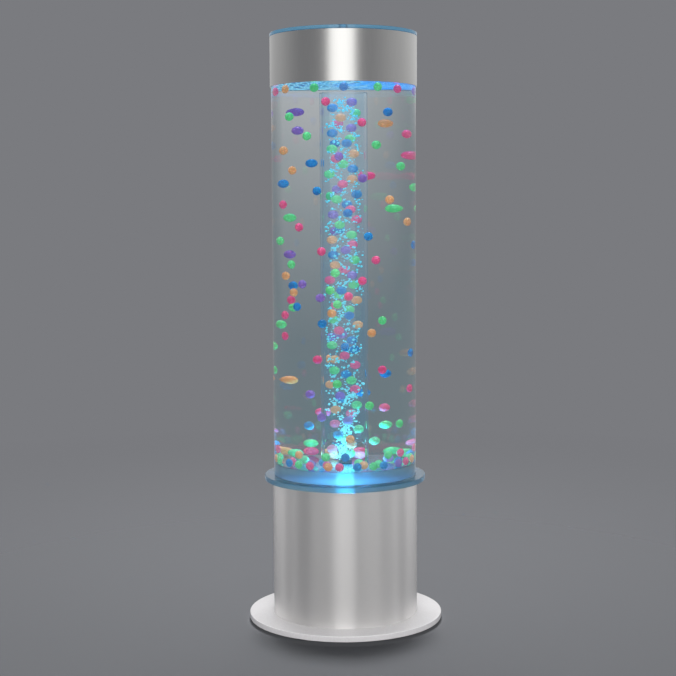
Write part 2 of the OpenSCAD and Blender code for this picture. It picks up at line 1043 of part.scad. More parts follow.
/* Rear panel ---------------------------------------------------------------- */

panel_y = housing_r - panel_depth;
panel_wall = 1.6;
panel_mid = base_z + panel_up;
switch_x = 10;
inlet_x = -11;
lip_r = housing_r + seat_gap;

module rear_panel() {
    inner_w = panel_w - 2 * seat_gap;
    inner_h = panel_h - 2 * seat_gap;
    color("black")
        difference() {
            intersection() {
                union() {
                    difference() {
                        panel_prism(
                            panel_w + 2 * lip_lap, panel_h + 2 * lip_lap, panel_corner + lip_lap,
                            housing_in / 2, housing_r + 2 * lip_t);
                        translate([0, 0, base_z])
                            cylinder(r = lip_r, h = housing_h);
                    }
                    panel_prism(
                        inner_w, inner_h, panel_corner, panel_y - panel_floor, housing_r + 2 * lip_t);
                }
                translate([0, 0, base_z])
                    cylinder(r = lip_r + lip_t, h = housing_h);
            }
            panel_prism(
                inner_w - 2 * panel_wall, inner_h - 2 * panel_wall, panel_corner - panel_wall, panel_y,
                housing_r + 3 * lip_t);
            translate([inlet_x, 0, panel_mid])
                rotate([-90, 0, 0])
                    cylinder(r = inlet_d / 2 + seat_gap, h = housing_r);
            translate([switch_x - switch_body_w / 2 - seat_gap, 0, panel_mid - switch_body_h / 2 - seat_gap])
                cube([switch_body_w + 2 * seat_gap, housing_r, switch_body_h + 2 * seat_gap]);
        }
}

collar_t = 1.5;
inlet_l = 14;

module power_inlet() {
    color("dimgray")
        translate([inlet_x, panel_y, panel_mid])
            rotate([-90, 0, 0]) {
                difference() {
                    union() {
                        cylinder(r = inlet_d / 2 + 1.5, h = collar_t);
                        translate([0, 0, -inlet_l])
                            cylinder(d = inlet_d, h = inlet_l + cut);
                    }
                    translate([0, 0, collar_t - inlet_l + 2])
                        cylinder(d = inlet_bore_d, h = inlet_l);
                }
                translate([0, 0, 1 - inlet_l])
                    cylinder(d = inlet_pin_d, h = inlet_l - 1);
            }
}

module inlet_nut() {
    nut_w = inlet_d + 3;
    color("silver")
        translate([inlet_x, panel_y - panel_floor, panel_mid])
            rotate([90, 0, 0])
                difference() {
                    cylinder(d = nut_w / cos(30), h = 2.5, $fn = 6);
                    translate([0, 0, -cut])
                        cylinder(r = inlet_d / 2 + pin_gap, h = 2.5 + 2 * cut);
                }
}

// The switch: a frame that clips into the panel, and a rocker that turns on two small pins.
frame_t = 2;
switch_body_w = switch_w - 2;
switch_body_h = switch_h - 2;
switch_body_l = 12;
rocker_r = switch_h / 2 - 2.2;
rocker_w = switch_w - 5.4;
pivot_d = 2;
pivot_l = rocker_w + 1.8;
pivot_y = panel_y - 1;
rocker_hub = 2.4;

module switch_frame() {
    window_w = rocker_w + 2 * rocker_gap;
    window_h = 2 * (rocker_r + rocker_gap);
    color("black")
        difference() {
            translate([switch_x, panel_y, panel_mid])
                rotate([-90, 0, 0]) {
                    linear_extrude(frame_t)
                        rounded_rect(switch_w, switch_h, 1.5);
                    translate([-switch_body_w / 2, -switch_body_h / 2, -switch_body_l])
                        cube([switch_body_w, switch_body_h, switch_body_l + 0.5]);
                }
            translate([switch_x - window_w / 2, pivot_y - rocker_r - 1, panel_mid - window_h / 2])
                cube([window_w, 3 * rocker_r, window_h]);
            translate([switch_x - pivot_l / 2 - rocker_gap, pivot_y, panel_mid])
                rotate([0, 90, 0])
                    cylinder(r = pivot_d / 2 + pin_gap, h = pivot_l + 2 * rocker_gap);
        }
}

// The rocker's side outline about its pivot: a disc cut back to two faces that meet in a shallow valley.
module rocker_outline() {
    valley = frame_t + 1.6;
    lift = rocker_r * tan(rocker_travel / 2);
    difference() {
        circle(rocker_r);
        polygon([
            [-2 * rocker_r, valley + 2 * lift], [0, valley], [2 * rocker_r, valley + 2 * lift],
            [2 * rocker_r, 3 * rocker_r], [-2 * rocker_r, 3 * rocker_r],
        ]);
        translate([-2 * rocker_r, -3 * rocker_r])
            square([4 * rocker_r, 3 * rocker_r - rocker_hub]);
    }
}

module switch_rocker() {
    color("red")
        translate([switch_x, pivot_y, panel_mid])
            rotate([-rocker_travel / 2, 0, 0]) {
                rotate([90, 0, 90])
                    translate([0, 0, -rocker_w / 2])
                        linear_extrude(rocker_w)
                            rotate(-90)
                                rocker_outline();
                translate([-pivot_l / 2, 0, 0])
                    rotate([0, 90, 0])
                        cylinder(d = pivot_d, h = pivot_l);
            }
}

/* Wires ------------------------------------------------------------------------ */

wire_r = wire_d / 2;

// How far each wire keeps straight on where it starts and where it ends.
led_wire_leads = [90, 60];
pump_wire_leads = [14, 16];
inlet_wire_leads = [16, 14];

// A wire that leaves start along way and comes down into a terminal of the control board.
module wire_to_board(start, way, leads, i, steps = 16) {
    color("ivory")
        bent_tube(
            start, leads[0] * way, terminal(i) + [0, 0, term_h], [0, 0, -leads[1]], wire_r, [1, 0, 0], steps);
}

module led_wire() {
    wire_to_board([led_wire_x, 0, led_board_z], [0, 0, -1], led_wire_leads, 2, 24);
}

module pump_wire() {
    wire_to_board([-term_x, pump_back + gland_l, gland_z], [0, 1, 0], pump_wire_leads, 0);
}

module inlet_wire() {
    wire_to_board([inlet_x, panel_y - inlet_l, panel_mid], [0, -1, 0], inlet_wire_leads, 1);
}

foot_plate();
rubber_feet();
base_housing();
centring_ring();
support_posts();
support_plate();
frame_screws();
clear_floor();
outer_tube();
lift_tube();
water();
balls_green();
balls_pink();
balls_blue();
balls_orange();
balls_purple();
cap_ring();
cap_disc();
air_nozzle();
nozzle_seal();
nozzle_washer();
nozzle_nut();
pump_housing();
pump_head();
pump_mounts();
hose_lower();
check_valve();
hose_upper();
led_board();
led_lights();
led_screws();
control_board();
board_parts();
board_pillars();
board_screws();
rear_panel();
power_inlet();
inlet_nut();
switch_frame();
switch_rocker();
led_wire();
pump_wire();
inlet_wire();
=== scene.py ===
# %% [markdown]
# # A bubble tube floor lamp, dressed for a picture
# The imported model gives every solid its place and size. This lesson keeps that frame as it is and gives the
# lamp its looks: clear acrylic and water, drifting balls, rising bubbles, a polished cap and an enamelled
# foot. Every new piece is modelled in metres, in the model's own frame, so it needs no fitting afterwards.

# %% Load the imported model
import math
import random

import bmesh
import bpy
from mathutils import Matrix, Vector


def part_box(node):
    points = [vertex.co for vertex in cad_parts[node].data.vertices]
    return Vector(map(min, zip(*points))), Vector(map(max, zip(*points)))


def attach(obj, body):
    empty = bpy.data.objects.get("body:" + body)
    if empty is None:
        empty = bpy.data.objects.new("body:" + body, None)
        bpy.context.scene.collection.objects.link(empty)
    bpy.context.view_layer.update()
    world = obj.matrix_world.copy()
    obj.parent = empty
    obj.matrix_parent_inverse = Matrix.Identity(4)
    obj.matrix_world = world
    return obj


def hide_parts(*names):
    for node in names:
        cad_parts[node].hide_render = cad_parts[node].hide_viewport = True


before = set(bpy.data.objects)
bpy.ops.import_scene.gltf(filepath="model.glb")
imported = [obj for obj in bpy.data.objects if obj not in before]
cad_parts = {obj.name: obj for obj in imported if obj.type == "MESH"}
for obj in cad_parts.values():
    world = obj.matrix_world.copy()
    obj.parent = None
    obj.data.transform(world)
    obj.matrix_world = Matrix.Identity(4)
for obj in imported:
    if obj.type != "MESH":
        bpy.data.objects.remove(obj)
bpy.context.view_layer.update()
MM = 0.001

# %% [markdown]
# ## Read the sizes
# The lamp is a stack of round pieces. So three numbers place each one: where it starts, where it ends and
# how far it reaches from the middle. Reading them from the model is safer than typing them again. Only the
# inner radii are typed, because a box round a piece doesn't show them.

# %% Heights and radii in millimetres
def reach(node):
    """Lowest height, highest height and radius of a round CAD node, in millimetres."""
    low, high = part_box(node)
    return round(low.z / MM, 2), round(high.z / MM, 2), round(max(high.x, high.y) / MM, 1)


plate_low, plate_top, plate_r = reach("foot_plate")
sleeve_low, sleeve_top, _ = reach("base_housing")
flange_low, floor_top, flange_r = reach("clear_floor")
tube_low, tube_top, tube_r = reach("outer_tube")
lift_low, lift_top, lift_r = reach("lift_tube")
water_low, water_top, water_r = reach("water")
ring_low, ring_top, ring_r = reach("cap_ring")
disc_low, disc_top, disc_r = reach("cap_disc")
sleeve_in, sleeve_r = 100.0, 101.5
tube_in, lift_in, ring_in = 95.0, 22.0, 100.3
print("stack:", plate_low, sleeve_low, flange_low, floor_top, water_top, ring_top, disc_top)

# %% [markdown]
# ## The camera
# A photograph fixes its own camera. Matching the circles of the plate, the flange and the cap gave a long
# lens about two metres away, a little above half the lamp's height, turned down by five degrees.

# %% Camera
camera_data = bpy.data.cameras.new("camera")
camera_data.sensor_width = 36
camera_data.lens = 75.82
camera = bpy.data.objects.new("camera", camera_data)
bpy.context.scene.collection.objects.link(camera)
tilt = Matrix.Rotation(math.radians(90 - 5.053), 4, "X") @ Matrix.Rotation(math.radians(-0.274), 4, "Z")
camera.matrix_world = Matrix.Translation((-0.00905, -1.991, 0.5753)) @ tilt
bpy.context.scene.camera = camera
bpy.context.scene.view_settings.view_transform = "Standard"
print("camera at", [round(v, 3) for v in camera.location])

# %% [markdown]
# ## Nodes and colours
# Materials are small networks. One function adds any node, sets its values and links its sockets. Colours
# are written as sRGB hex values, as a colour picker gives them, and turned to the linear values that light
# needs.

# %% Helpers for materials
def colour(text):
    """A linear RGBA colour from an sRGB hex value."""
    parts = [int(text[i:i + 2], 16) / 255 for i in (1, 3, 5)]
    return [p / 12.92 if p <= 0.04045 else ((p + 0.055) / 1.055) ** 2.4 for p in parts] + [1.0]


def add(tree, kind, inputs=(), stops=(), **settings):
    """Adds a node. inputs are values, or sockets that feed it: a list in the order of its sockets, or a dict
    by their names or numbers. stops are a colour ramp's (position, hex colour) pairs, settings the rest."""
    made = tree.nodes.new(kind)
    for key, value in settings.items():
        setattr(made, key, value)
    for key, value in (inputs if isinstance(inputs, dict) else dict(enumerate(inputs))).items():
        if isinstance(value, bpy.types.NodeSocket):
            tree.links.new(value, made.inputs[key])
        else:
            made.inputs[key].default_value = value
    if stops:
        marks = made.color_ramp.elements
        for spot, text in stops[1:-1]:
            marks.new(spot)
        for mark, (spot, text) in zip(marks, stops):
            mark.position, mark.color = spot, colour(text)
    return made


def new_material(name):
    """An empty material and its tree."""
    made = bpy.data.materials.new(name)
    made.use_nodes = True
    made.node_tree.nodes.clear()
    return made, made.node_tree


print("aluminium grey in linear light:", [round(v, 3) for v in colour("#c9c9cb")])

# %% [markdown]
# ## The room
# Polished metal shows the room round it. So the world is a grey room that mirrored and scattered rays see:
# a pale wall behind the lamp that fades out towards the front, a little dimmer in a level band, and a darker
# ceiling. The dot product of the looking direction with an axis says how far a ray points that way, and a
# Map Range node turns it into a share from 0 to 1 for a colour ramp.

# %% Room for mirrored rays
PAPER = "#7a7b7f"
world = bpy.data.worlds.new("studio")
world.use_nodes = True
bpy.context.scene.world = world
tree = world.node_tree
tree.nodes.clear()


def towards(direction, low, high, to_low=0.0, to_high=1.0):
    """How far the looking direction points along another one, as a share between two dot products."""
    way = add(tree, "ShaderNodeTexCoord").outputs["Generated"]
    along = add(tree, "ShaderNodeVectorMath", [way, direction], operation="DOT_PRODUCT").outputs["Value"]
    return add(tree, "ShaderNodeMapRange", [along, low, high, to_low, to_high]).outputs[0]


wall = add(tree, "ShaderNodeValToRGB", [towards((0.3, 1, 0), -0.6, 1.04)], [
    (0.0, "#000000"), (0.21, "#595959"), (0.44, "#7c7c7c"), (0.67, "#8a8a8a"), (0.89, "#a6a6a6"),
    (1.0, "#b8b8b8")])
band = add(tree, "ShaderNodeValToRGB", [towards((0, 0, 1), -0.25, 0.15)], [
    (0.0, "#ffffff"), (0.15, "#ffffff"), (0.28, "#8a8a8a"), (0.72, "#8a8a8a"), (0.85, "#ffffff"),
    (1.0, "#ffffff")])
ceiling = add(tree, "ShaderNodeValToRGB", [towards((0, 0, 1), 0.2, 0.7)], [
    (0.0, "#ffffff"), (1.0, "#868686")])
wall = add(tree, "ShaderNodeMix", {0: 1.0, 6: wall.outputs[0], 7: band.outputs[0]}, data_type="RGBA",
           blend_type="MULTIPLY")
level = add(tree, "ShaderNodeMix", {0: 1.0, 6: colour(PAPER), 7: wall.outputs[2]}, data_type="RGBA",
            blend_type="ADD")
room = add(tree, "ShaderNodeMix", {0: 1.0, 6: level.outputs[2], 7: ceiling.outputs[0]}, data_type="RGBA",
           blend_type="MULTIPLY")
print("room of", len(tree.nodes), "nodes")

# %% [markdown]
# ## The view through the tube
# Clear acrylic shows what stands behind it, bent. Rays that went through it see a backdrop that is lighter
# towards the top and dims to both sides, as in the photograph. Steep rays see its dark end instead: they
# come from total reflection in the floor block, which would look milky with a pale sky in it.

# %% Backdrop for rays through glass
breadth = add(tree, "ShaderNodeValToRGB", [towards((1, 0, 0), -0.8, 0.8)], [
    (0.0, "#a0a0a0"), (0.1, "#b7b7b7"), (0.2, "#cccccc"), (0.32, "#e6e6e6"), (0.5, "#f7f7f7"),
    (0.6, "#ffffff"), (0.84, "#ffffff"), (0.91, "#e6e6e6"), (1.0, "#b3b3b3")])
pane = add(tree, "ShaderNodeMath", [towards((0, 0, 1), -0.16, 0.12), breadth.outputs[0]],
           operation="MULTIPLY")
pane = add(tree, "ShaderNodeMath", [pane.outputs[0], towards((0, 0, 1), 0.15, 0.3, 1.0, 0.0)],
           operation="MULTIPLY")
glass = add(tree, "ShaderNodeValToRGB", [pane.outputs[0]], [
    (0.0, "#6e7a80"), (0.25, "#707a80"), (0.4, "#80868b"), (0.54, "#8f9397"), (0.7, "#a0a3a6"),
    (0.79, "#adaeb1"), (1.0, "#c0c1c3")])
print("backdrop of", len(glass.color_ramp.elements), "greys")

# %% [markdown]
# ## One world of three
# The Light Path node tells the kinds of ray apart. The camera itself sees plain paper grey, so the picture
# has an even background.

# %% World
rays = add(tree, "ShaderNodeLightPath").outputs
plain = add(tree, "ShaderNodeBackground", [colour(PAPER)])
behind_glass = add(tree, "ShaderNodeBackground", [glass.outputs[0]])
studio = add(tree, "ShaderNodeBackground", [room.outputs[2]])
unseen = add(tree, "ShaderNodeMixShader", [
    rays["Is Transmission Ray"], studio.outputs[0], behind_glass.outputs[0]])
whole = add(tree, "ShaderNodeMixShader", [rays["Is Camera Ray"], unseen.outputs[0], plain.outputs[0]])
add(tree, "ShaderNodeOutputWorld", {"Surface": whole.outputs[0]})
print("world of", len(tree.nodes), "nodes")

# %% [markdown]
# ## Floor
# A studio hides the corner between floor and wall. Here a wide sheet of paper lies on the ground and thins
# out into the world of the same grey, so no horizon shows. The paper is a diffuse surface with a fine fibre,
# and its distance from the lamp decides how much of it is left. Real fibre is too fine to show from two
# metres, so it is drawn at about 1 mm.

# %% Floor
bm = bmesh.new()
bmesh.ops.create_grid(bm, x_segments=2, y_segments=2, size=6)
floor_mesh = bpy.data.meshes.new("studio_floor")
bm.to_mesh(floor_mesh)
bm.free()
floor = bpy.data.objects.new("studio_floor", floor_mesh)
bpy.context.scene.collection.objects.link(floor)
paper, tree = new_material("backdrop_paper")
place = add(tree, "ShaderNodeTexCoord").outputs["Object"]
distance = add(tree, "ShaderNodeVectorMath", [place], operation="LENGTH").outputs["Value"]
thin = add(tree, "ShaderNodeMapRange", [distance, 0.3, 1.8])
fibre = add(tree, "ShaderNodeTexNoise", {"Vector": place, "Scale": 900.0, "Detail": 2.0})
grey = add(tree, "ShaderNodeValToRGB", [fibre.outputs["Fac"]], [(0.0, "#5e5f62"), (1.0, "#626366")])
sheet = add(tree, "ShaderNodeBsdfDiffuse", [grey.outputs[0]])
gone = add(tree, "ShaderNodeBsdfTransparent")
faded = add(tree, "ShaderNodeMixShader", [thin.outputs[0], sheet.outputs[0], gone.outputs[0]])
add(tree, "ShaderNodeOutputMaterial", {"Surface": faded.outputs[0]})
floor_mesh.materials.append(paper)
print("floor", floor_mesh.name, "faces:", len(floor_mesh.polygons))

# %% [markdown]
# ## Lamps of the studio
# The key lamp stands high behind the object and lights it from above. The tall softbox behind the camera is
# the bright band down the cap and the sleeve, because metal mirrors it. The others each do one job, and
# further down they are tied to the pieces they are for. The shade lamp lays the soft shadow in front of the
# foot plate. The thin lamp under the plate stands for the light that creeps below it. The fill and the ring
# of low panels keep the plate and the foot of the sleeve from mirroring only the dim floor.

# %% Softboxes
def softbox(name, place, aim, width, height, watts):
    """A rectangular lamp at place that faces aim, both in metres."""
    data = bpy.data.lights.new(name, "AREA")
    data.shape = "RECTANGLE"
    data.size, data.size_y, data.energy = width, height, watts
    lamp = bpy.data.objects.new(name, data)
    turn = (Vector(aim) - Vector(place)).to_track_quat("-Z", "Y").to_matrix().to_4x4()
    lamp.matrix_world = Matrix.Translation(place) @ turn
    lamp.visible_camera = lamp.visible_transmission = False
    bpy.context.scene.collection.objects.link(lamp)
    return lamp


def round_the_lamp(angle, distance, height):
    """A place at an angle from the front, to the right for a positive one, in degrees and metres."""
    return distance * math.sin(math.radians(angle)), -distance * math.cos(math.radians(angle)), height


FOOT = (0.0, 0.0, 0.0)
LOW_PANELS = ((-128, 4), (-100, 3), (-72, 3), (-38, 6), (0, 5.5), (38, 8), (72, 5), (100, 3), (128, 4))
key_lamp = softbox("key", round_the_lamp(180, 0.6, 2.7), FOOT, 0.7, 0.7, 45)
shade = softbox("shade", round_the_lamp(180, 1.15, 2.6), FOOT, 0.6, 0.6, 82)
softbox("front", round_the_lamp(-2.5, 3.2, 1.45), (0.0, 0.0, 0.9), 2.3, 2.8, 25)
under_plate = softbox("under_plate", (0.0, 0.0, 0.003), FOOT, 0.28, 0.28, 0.07)
under_plate.data.shape = "DISK"
under_plate.visible_glossy = False
plate_fill = softbox("plate_fill", round_the_lamp(0, 1.2, 1.3), FOOT, 0.8, 0.8, 12)
low_panels = [softbox("low", round_the_lamp(angle, 2.6, 0.4), (0.0, 0.0, 0.1), 1.6, 0.7, watts)
              for angle, watts in LOW_PANELS]

# %% [markdown]
# ## Turned pieces
# Nearly everything on this lamp is round, and a round piece is quickest to make as a lathe makes it: draw
# half of its outline and spin that round the axis. Its sharp edges are then rounded, because a real edge
# always catches a thin line of light.

# %% Spin and round
def spun(outline, steps=192):
    """A bmesh turned round the Z axis from a closed outline of (radius, height) corners in millimetres."""
    made = bmesh.new()
    corners = [made.verts.new((r * MM, 0.0, z * MM)) for r, z in outline]
    edges = [made.edges.new(pair) for pair in zip(corners, corners[1:] + corners[:1])]
    bmesh.ops.spin(made, geom=corners + edges, axis=(0, 0, 1), cent=(0, 0, 0), dvec=(0, 0, 0),
                   angle=math.tau, steps=steps, use_merge=True, use_duplicate=False)
    bmesh.ops.remove_doubles(made, verts=made.verts, dist=1e-7)
    bmesh.ops.recalc_face_normals(made, faces=made.faces)
    return made


def round_edges(made, width, segments=3):
    """Rounds the edges that turn by more than 40 degrees, to a width in millimetres."""
    sharp = [e for e in made.edges
             if len(e.link_faces) == 2 and e.calc_face_angle(0.0) > math.radians(40)]
    bmesh.ops.bevel(made, geom=sharp, offset=width * MM, offset_type="OFFSET", segments=segments,
                    profile=0.5, affect="EDGES", clamp_overlap=True, material=-1)


print("spin and round are ready")

# %% [markdown]
# ## From a bmesh to a piece
# A finished piece is shaded smooth but for its real corners. It rides on a body of the model, so that it
# moves with it, and stands for the CAD node that it replaces. Weighted normals keep the flat faces flat
# beside their rounded edges.

# %% Finished piece
def piece(name, made, body, materials, slot, *nodes):
    """Turns a bmesh into a finished piece that rides on a body and stands for CAD nodes."""
    for face in made.faces:
        face.smooth = True
    for edge in made.edges:
        if len(edge.link_faces) == 2:
            edge.smooth = edge.calc_face_angle(0.0) < math.radians(35)
    mesh = bpy.data.meshes.new(name)
    made.to_mesh(mesh)
    made.free()
    for one in materials:
        mesh.materials.append(one)
    whole = bpy.data.objects.new(name, mesh)
    bpy.context.scene.collection.objects.link(whole)
    weigh = whole.modifiers.new("weigh_normals", "WEIGHTED_NORMAL")
    weigh.keep_sharp = True
    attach(whole, body)
    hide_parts(*nodes)
    print(name, "faces:", len(mesh.polygons))
    return whole


# %% [markdown]
# ## Cutting holes
# A Boolean modifier cuts closed shapes out of a closed mesh and leaves the curve round them whole. Here the
# result is read back into a bmesh straight away, so no helper objects stay in the scene.

# %% Boolean cut
def cut_away(made, tools):
    """Cuts closed shapes out of a bmesh with a Boolean, and gives back the new bmesh."""
    solids = []
    for label, shape in (("work", made), ("tools", tools)):
        mesh = bpy.data.meshes.new(label)
        shape.to_mesh(mesh)
        shape.free()
        solids.append(bpy.data.objects.new(label, mesh))
        bpy.context.scene.collection.objects.link(solids[-1])
    knife = solids[0].modifiers.new("cut", "BOOLEAN")
    knife.object = solids[1]
    knife.operation = "DIFFERENCE"
    knife.solver = "EXACT"
    knife.use_self = False
    graph = bpy.context.evaluated_depsgraph_get()
    result = bmesh.new()
    result.from_mesh(solids[0].evaluated_get(graph).to_mesh())
    for solid in solids:
        mesh = solid.data
        bpy.data.objects.remove(solid)
        bpy.data.meshes.remove(mesh)
    return result


def rounded_prism(made, width, height, radius, spot, depth):
    """Adds a closed prism with rounded corners, width by height, that runs back to front through spot."""
    shape = spot @ Matrix.Diagonal((width * MM, depth * MM, height * MM, 1))
    corners = bmesh.ops.create_cube(made, size=1.0, matrix=shape)["verts"]
    long_way = (spot.to_3x3() @ Vector((0, 1, 0))).normalized()
    edges = {e for v in corners for e in v.link_edges
             if abs((e.verts[1].co - e.verts[0].co).normalized().dot(long_way)) > 0.99}
    bmesh.ops.bevel(made, geom=list(edges), offset=radius * MM, offset_type="OFFSET", segments=8,
                    profile=0.5, affect="EDGES", material=-1)


print("cuts are ready")

# %% [markdown]
# ## Solid finishes
# Paint, plastic, rubber and metal share one plan: a colour that varies a little, a roughness that varies
# with it and a very fine bump, all driven by noise whose grain has a real size. The values start from what
# the material is: 1 for metallic on a bare metal, about 0.05 to 0.2 roughness on gloss, 0.5 and more on matt.
# Anodising and moulding grain are finer than a tenth of a millimetre. They are drawn at 0.3 mm and more,
# because a pixel covers more than a millimetre here and would lose them.

# %% Solid finish
def finish(name, light, dark, metal, rough, grain, bump=0.0, stretch=(1, 1, 1), **sockets):
    """light and dark are the two ends of its colour, rough the lowest and highest roughness, and grain one
    speck's size in millimetres. stretch squeezes the pattern along an axis: 0.05 makes it 20 times longer."""
    made, tree = new_material(name)
    place = add(tree, "ShaderNodeTexCoord").outputs["Object"]
    spread = add(tree, "ShaderNodeMapping", {"Vector": place, "Scale": stretch}).outputs["Vector"]
    noise = add(tree, "ShaderNodeTexNoise", {"Vector": spread, "Scale": 1 / (grain * MM), "Detail": 4.0})
    speck = noise.outputs["Fac"]
    tone = add(tree, "ShaderNodeValToRGB", [speck], [(0.3, dark), (0.7, light)])
    inputs = {"Base Color": tone.outputs[0], "Metallic": metal,
              "Roughness": add(tree, "ShaderNodeMapRange", [speck, 0.3, 0.7, *rough]).outputs[0]}
    if bump:
        relief = add(tree, "ShaderNodeBump", {"Height": speck, "Strength": 1.0, "Distance": bump * MM})
        inputs["Normal"] = relief.outputs["Normal"]
    if "Anisotropic" in sockets:
        marks = add(tree, "ShaderNodeTangent", direction_type="RADIAL", axis="Z")
        inputs["Tangent"] = marks.outputs["Tangent"]
    inputs.update({key.replace("_", " "): value for key, value in sockets.items()})
    shader = add(tree, "ShaderNodeBsdfPrincipled", inputs)
    add(tree, "ShaderNodeOutputMaterial", {"Surface": shader.outputs[0]})
    return made


print("a finish takes a colour, a roughness and a grain")

# %% [markdown]
# ## Metals
# A metal's colour tints what it mirrors, so the grey of aluminium and the yellow of brass are base colours
# with metallic at 1 and the index of refraction left alone. How it was worked decides its roughness.

# %% Metals
# Anodised after fine turning: highlights stretch across the turning marks into soft upright bands.
satin_aluminium = finish("satin_anodised_aluminium", "#e4e2e0", "#dcdad9", 1.0, (0.40, 0.46), 0.5, 0.0008,
                         stretch=(1, 1, 8), Anisotropic=0.85, Anisotropic_Rotation=0.25)
# Spun and polished: it mirrors the softbox as one bright band with soft sides, faintly drawn upwards.
polished_aluminium = finish("polished_aluminium", "#eae9e5", "#e6e5e1", 1.0, (0.28, 0.30), 1.2,
                            stretch=(1, 1, 0.05))
# Milled plate keeps fine tool marks, which make its shine grainy.
mill_aluminium = finish("milled_aluminium", "#c8cacc", "#bcbec0", 1.0, (0.30, 0.42), 0.4, 0.002)
# Turned steel shines in fine rings round its axis.
turned_steel = finish("turned_steel", "#b9babc", "#a9aaad", 1.0, (0.22, 0.34), 0.5, 0.002, stretch=(1, 1, 8))
# Zinc plating is bright, with a faint blue cast.
screw_steel = finish("zinc_plated_steel", "#c6c8cb", "#b4b7bb", 1.0, (0.22, 0.36), 0.3, 0.001)
# A sand casting has a rough grey skin that only glints.
pump_casting = finish("sand_cast_aluminium", "#7d8084", "#6c6f73", 1.0, (0.50, 0.64), 0.6, 0.03)
# Turned brass is warm and smooth.
brass = finish("turned_brass", "#d8b968", "#c9a755", 1.0, (0.20, 0.32), 0.4, 0.001)
print("metals:", len(bpy.data.materials))

# %% [markdown]
# ## Paint, plastic and rubber
# These show their own colour and a thin white shine on top of it. Their index of refraction, near 1.5, sets
# how strong that shine is, and the mould or the lacquer sets how sharp.

# %% Paint, plastic and rubber
# Stove enamel flows out flat before it hardens: a clean gloss with even highlights.
white_enamel = finish("white_stove_enamel", "#e4e2e3", "#dedbdc", 0.0, (0.07, 0.12), 2.5, 0.004, IOR=1.5)
# Rubber is matt and never quite black.
black_rubber = finish("black_rubber", "#2b2b2c", "#222223", 0.0, (0.62, 0.78), 0.4, 0.02, IOR=1.52)
# ABS from a finely etched mould: a dull sheen without a mirror image.
dark_plastic = finish("black_moulded_abs", "#232426", "#1c1d1f", 0.0, (0.38, 0.50), 0.35, 0.01, IOR=1.53)
# Nylon without dye is milky and slightly warm.
pale_plastic = finish("natural_nylon", "#e7e3d6", "#dcd7c8", 0.0, (0.36, 0.48), 0.5, 0.005, IOR=1.53)
# Silicone hose is cloudy with a waxy shine.
silicone_hose = finish("translucent_silicone", "#dfe3e2", "#d2d8d7", 0.0, (0.30, 0.42), 1.5, 0.004, IOR=1.41)
# Solder mask is a smooth lacquer over the board: an even colour and a moderate gloss.
white_board = finish("white_solder_mask", "#eceeed", "#e2e5e4", 0.0, (0.24, 0.34), 0.6, 0.002, IOR=1.5)
green_board = finish("green_solder_mask", "#1f6b45", "#175a39", 0.0, (0.22, 0.34), 0.9, 0.003, IOR=1.5)
# Parts on a board differ from one another, so this grain is as large as a part.
part_plastic = finish("moulded_component_epoxy", "#2d5a45", "#22432f", 0.0, (0.30, 0.45), 3.0, 0.003, IOR=1.5)
# Nylon dyed through gives the rocker a strong, satin red.
switch_red = finish("red_moulded_nylon", "#c3202a", "#b41a24", 0.0, (0.26, 0.36), 0.4, 0.005, IOR=1.53)
# A PVC sheath is softly shiny, as if waxed.
wire_sheath = finish("ivory_pvc", "#e4dfcd", "#d8d2be", 0.0, (0.34, 0.46), 0.8, 0.004, IOR=1.53)
print("finishes:", len(bpy.data.materials))

# %% [markdown]
# ## Clear acrylic and water
# Both are made of the same network: a smooth shader that lets all light through and bends it. Its index of
# refraction tells them apart, 1.49 for acrylic and 1.33 for water. Light from the lamps would be stopped by
# such a shader, so shadow rays get a plain see-through one instead, and the balls inside stay lit. A glued
# seam or a turned rim is slightly hazy: a part of the light that crosses it is spread, which puts a soft
# halo round a bright thing behind it.

# %% Clear finish
HAZE_TINT, HAZE_ROUGHNESS = "#8ebcc8", 0.44


def clear(name, tint, ior, rough=0.0, glow=None, share=1.0, pale="#ffffff", haze=0.0):
    """A clear material between two tints. glow is a function that adds a painted glow, light that it gives
    off, and
    share says how much of it is clear: the rest is a milky surface, as on sanded acrylic or foamy water.
    haze is the part of a clear surface that spreads the light that comes through it."""
    made, tree = new_material(name)
    place = add(tree, "ShaderNodeTexCoord").outputs["Object"]
    wave = add(tree, "ShaderNodeTexNoise", {"Vector": place, "Scale": 12.0, "Detail": 1.0})
    tone = add(tree, "ShaderNodeValToRGB", [wave.outputs["Fac"]], [(0.0, pale), (1.0, tint)])
    inputs = {"Base Color": tone.outputs[0], "Roughness": rough, "IOR": ior, "Transmission Weight": share}
    if glow:
        inputs["Emission Color"], inputs["Emission Strength"] = glow(tree, place)
    solid = add(tree, "ShaderNodeBsdfPrincipled", inputs)
    if haze:
        inputs.update({"Base Color": colour(HAZE_TINT), "Roughness": HAZE_ROUGHNESS})
        cloud = add(tree, "ShaderNodeBsdfPrincipled", inputs)
        solid = add(tree, "ShaderNodeMixShader", [haze, solid.outputs[0], cloud.outputs[0]])
    open_way = add(tree, "ShaderNodeBsdfTransparent")
    shadow = add(tree, "ShaderNodeLightPath").outputs["Is Shadow Ray"]
    mixed = add(tree, "ShaderNodeMixShader", [shadow, solid.outputs[0], open_way.outputs[0]])
    add(tree, "ShaderNodeOutputMaterial", {"Surface": mixed.outputs[0]})
    return made


# Acrylic with its factory skin is as smooth as glass and almost without colour.
clear_acrylic = clear("clear_cast_acrylic", "#fafdfd", 1.49)
print(clear_acrylic.name, "nodes:", len(clear_acrylic.node_tree.nodes))
